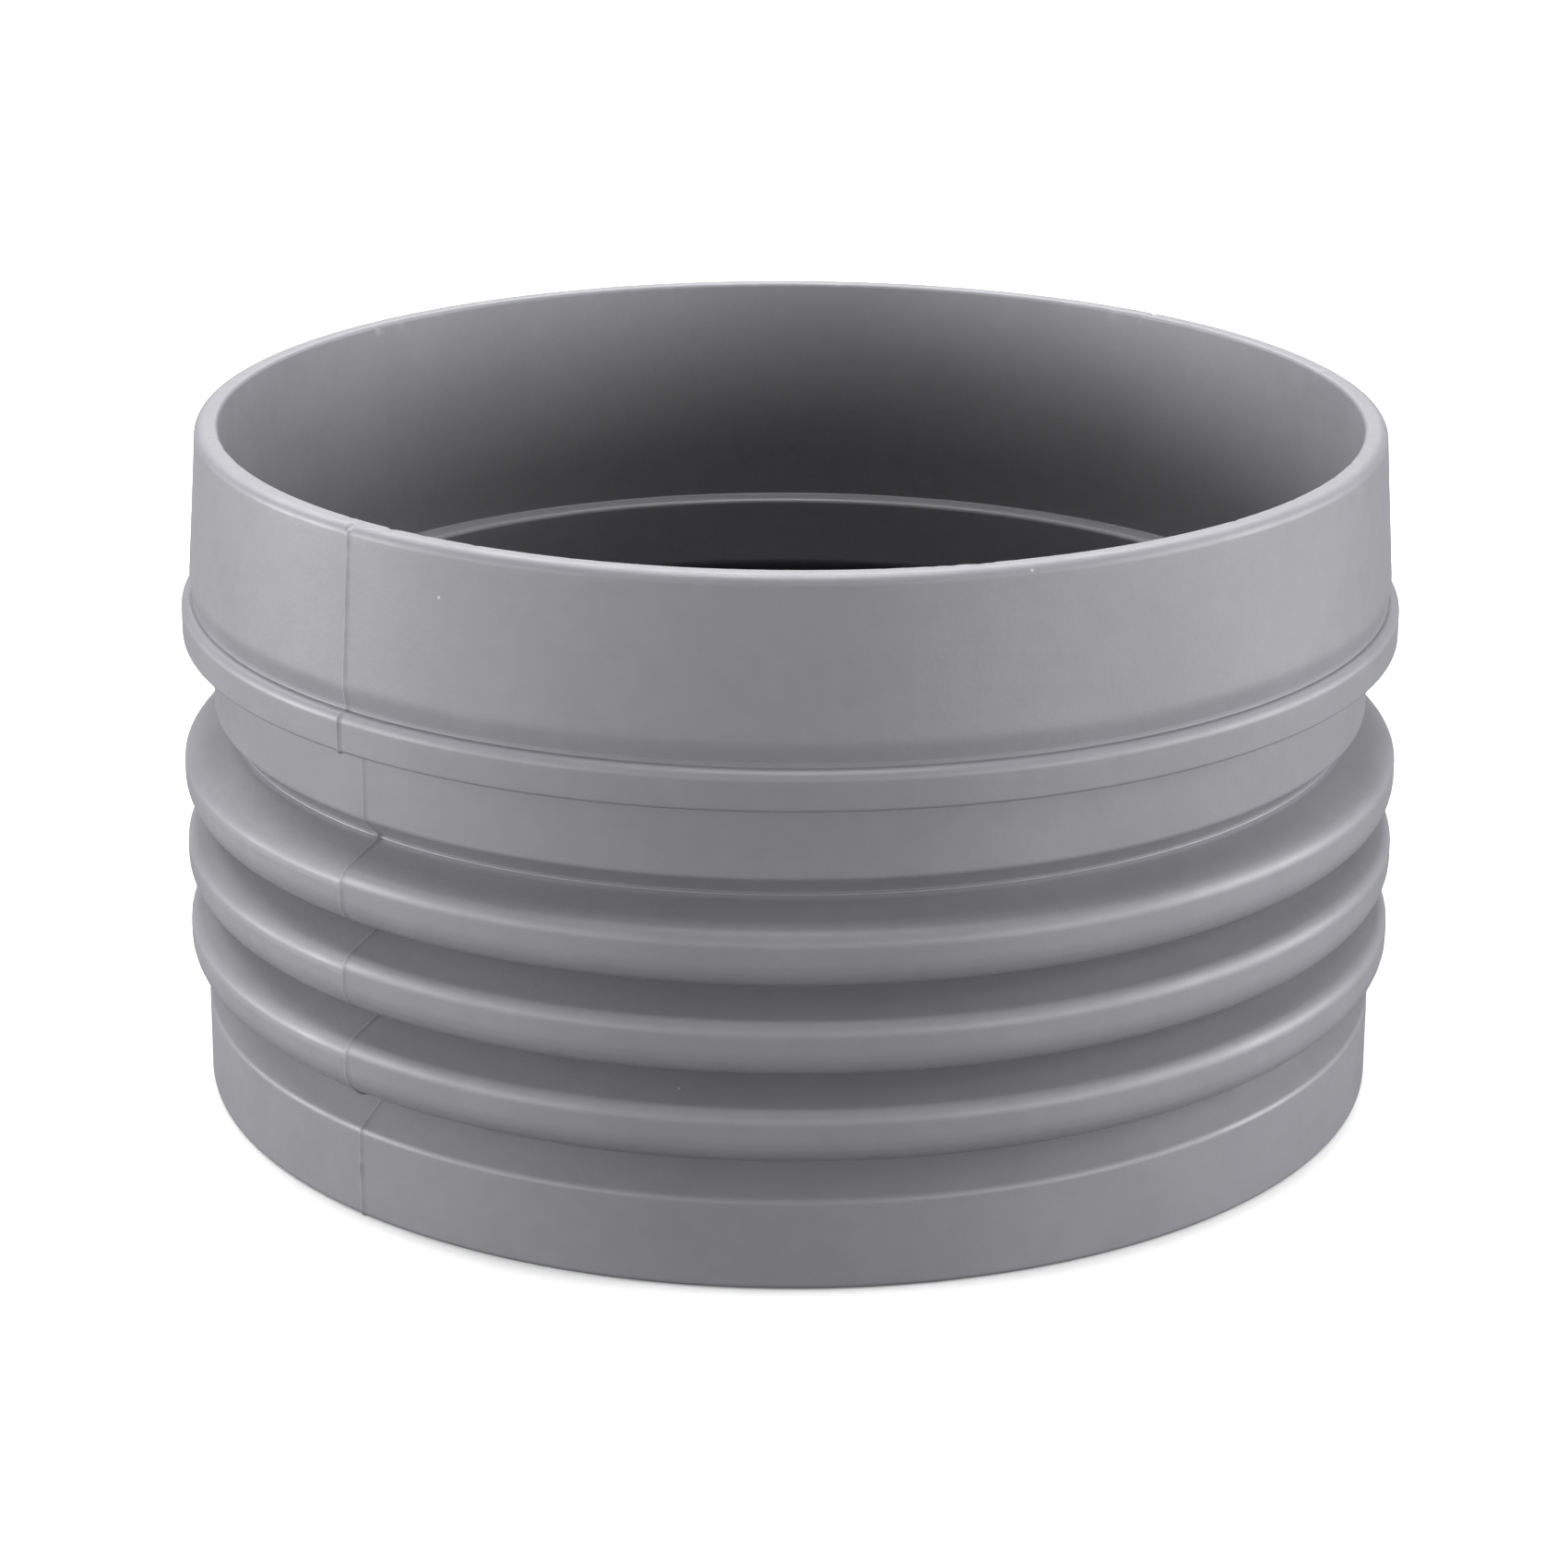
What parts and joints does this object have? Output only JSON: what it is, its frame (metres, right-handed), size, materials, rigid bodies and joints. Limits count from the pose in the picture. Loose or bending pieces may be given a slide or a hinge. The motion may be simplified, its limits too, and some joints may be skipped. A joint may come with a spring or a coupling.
{
  "type": "bellows coupling sleeve",
  "caption": "Flexible grey elastomer coupling sleeve, open at both ends, with a clamp-bead upper cuff, rounded bellows folds and a plain lower cuff.",
  "frame": {"origin": "centre of the base, level with the face that the sleeve stands on", "axes": "+Z along the axis of the passage, from the lower cuff to the upper lip; the mould's parting plane is XZ"},
  "size_m": [0.1188, 0.1188, 0.0659],
  "materials": {
    "grey_elastomer": "soft matt moulded surface"
  },
  "bodies": {
    "lower_cuff_body": {"base_rim": "grey_elastomer", "lower_cuff": "grey_elastomer"},
    "lower_web": {"lower_shoulder": "grey_elastomer", "underside_3": "grey_elastomer"},
    "bottom_fold_body": {"bottom_fold": "grey_elastomer"},
    "lower_middle_web": {"flank_3": "grey_elastomer", "underside_2": "grey_elastomer"},
    "middle_fold_body": {"middle_fold": "grey_elastomer"},
    "upper_middle_web": {"flank_2": "grey_elastomer", "underside_1": "grey_elastomer"},
    "top_fold_body": {"top_fold": "grey_elastomer"},
    "upper_web": {"flank_1": "grey_elastomer", "neck_undercut": "grey_elastomer"},
    "upper_cuff_body": {"stop_ledge": "grey_elastomer", "upper_neck": "grey_elastomer", "clamp_bead": "grey_elastomer", "upper_cuff": "grey_elastomer", "rim_lip": "grey_elastomer"}
  },
  "joints": [
    {"name": "stretch_1", "type": "slide", "parent": "lower_cuff_body", "child": "lower_web", "axis": [0, 0, 1], "range_m": [-0.002, 0.003], "stiffness_N_per_m": 3000, "deforming": ["lower_shoulder"]},
    {"name": "bend_x_1", "type": "hinge", "parent": "lower_web", "child": "bottom_fold_body", "pos_m": [0, 0, 0.01175], "axis": [1, 0, 0], "range_deg": [-1.4, 1.4], "stiffness_Nm_per_rad": 3, "deforming": ["underside_3"]},
    {"name": "stretch_2", "type": "slide", "parent": "bottom_fold_body", "child": "lower_middle_web", "axis": [0, 0, 1], "range_m": [-0.002, 0.003], "stiffness_N_per_m": 3000, "deforming": ["flank_3"]},
    {"name": "bend_y_1", "type": "hinge", "parent": "lower_middle_web", "child": "middle_fold_body", "pos_m": [0, 0, 0.02005], "axis": [0, 1, 0], "range_deg": [-1.4, 1.4], "stiffness_Nm_per_rad": 3, "deforming": ["underside_2"]},
    {"name": "stretch_3", "type": "slide", "parent": "middle_fold_body", "child": "upper_middle_web", "axis": [0, 0, 1], "range_m": [-0.002, 0.003], "stiffness_N_per_m": 3000, "deforming": ["flank_2"]},
    {"name": "bend_x_2", "type": "hinge", "parent": "upper_middle_web", "child": "top_fold_body", "pos_m": [0, 0, 0.02835], "axis": [1, 0, 0], "range_deg": [-1.4, 1.4], "stiffness_Nm_per_rad": 3, "deforming": ["underside_1"]},
    {"name": "stretch_4", "type": "slide", "parent": "top_fold_body", "child": "upper_web", "axis": [0, 0, 1], "range_m": [-0.002, 0.003], "stiffness_N_per_m": 3000, "deforming": ["flank_1"]},
    {"name": "bend_y_2", "type": "hinge", "parent": "upper_web", "child": "upper_cuff_body", "pos_m": [0, 0, 0.03635], "axis": [0, 1, 0], "range_deg": [-1.4, 1.4], "stiffness_Nm_per_rad": 3, "deforming": ["neck_undercut"]}
  ],
  "couplings": [
    {"joint": "stretch_2", "follows": "stretch_1", "ratio": 1},
    {"joint": "stretch_3", "follows": "stretch_1", "ratio": 1},
    {"joint": "stretch_4", "follows": "stretch_1", "ratio": 1},
    {"joint": "bend_x_2", "follows": "bend_x_1", "ratio": 1},
    {"joint": "bend_y_2", "follows": "bend_y_1", "ratio": 1}
  ]
}
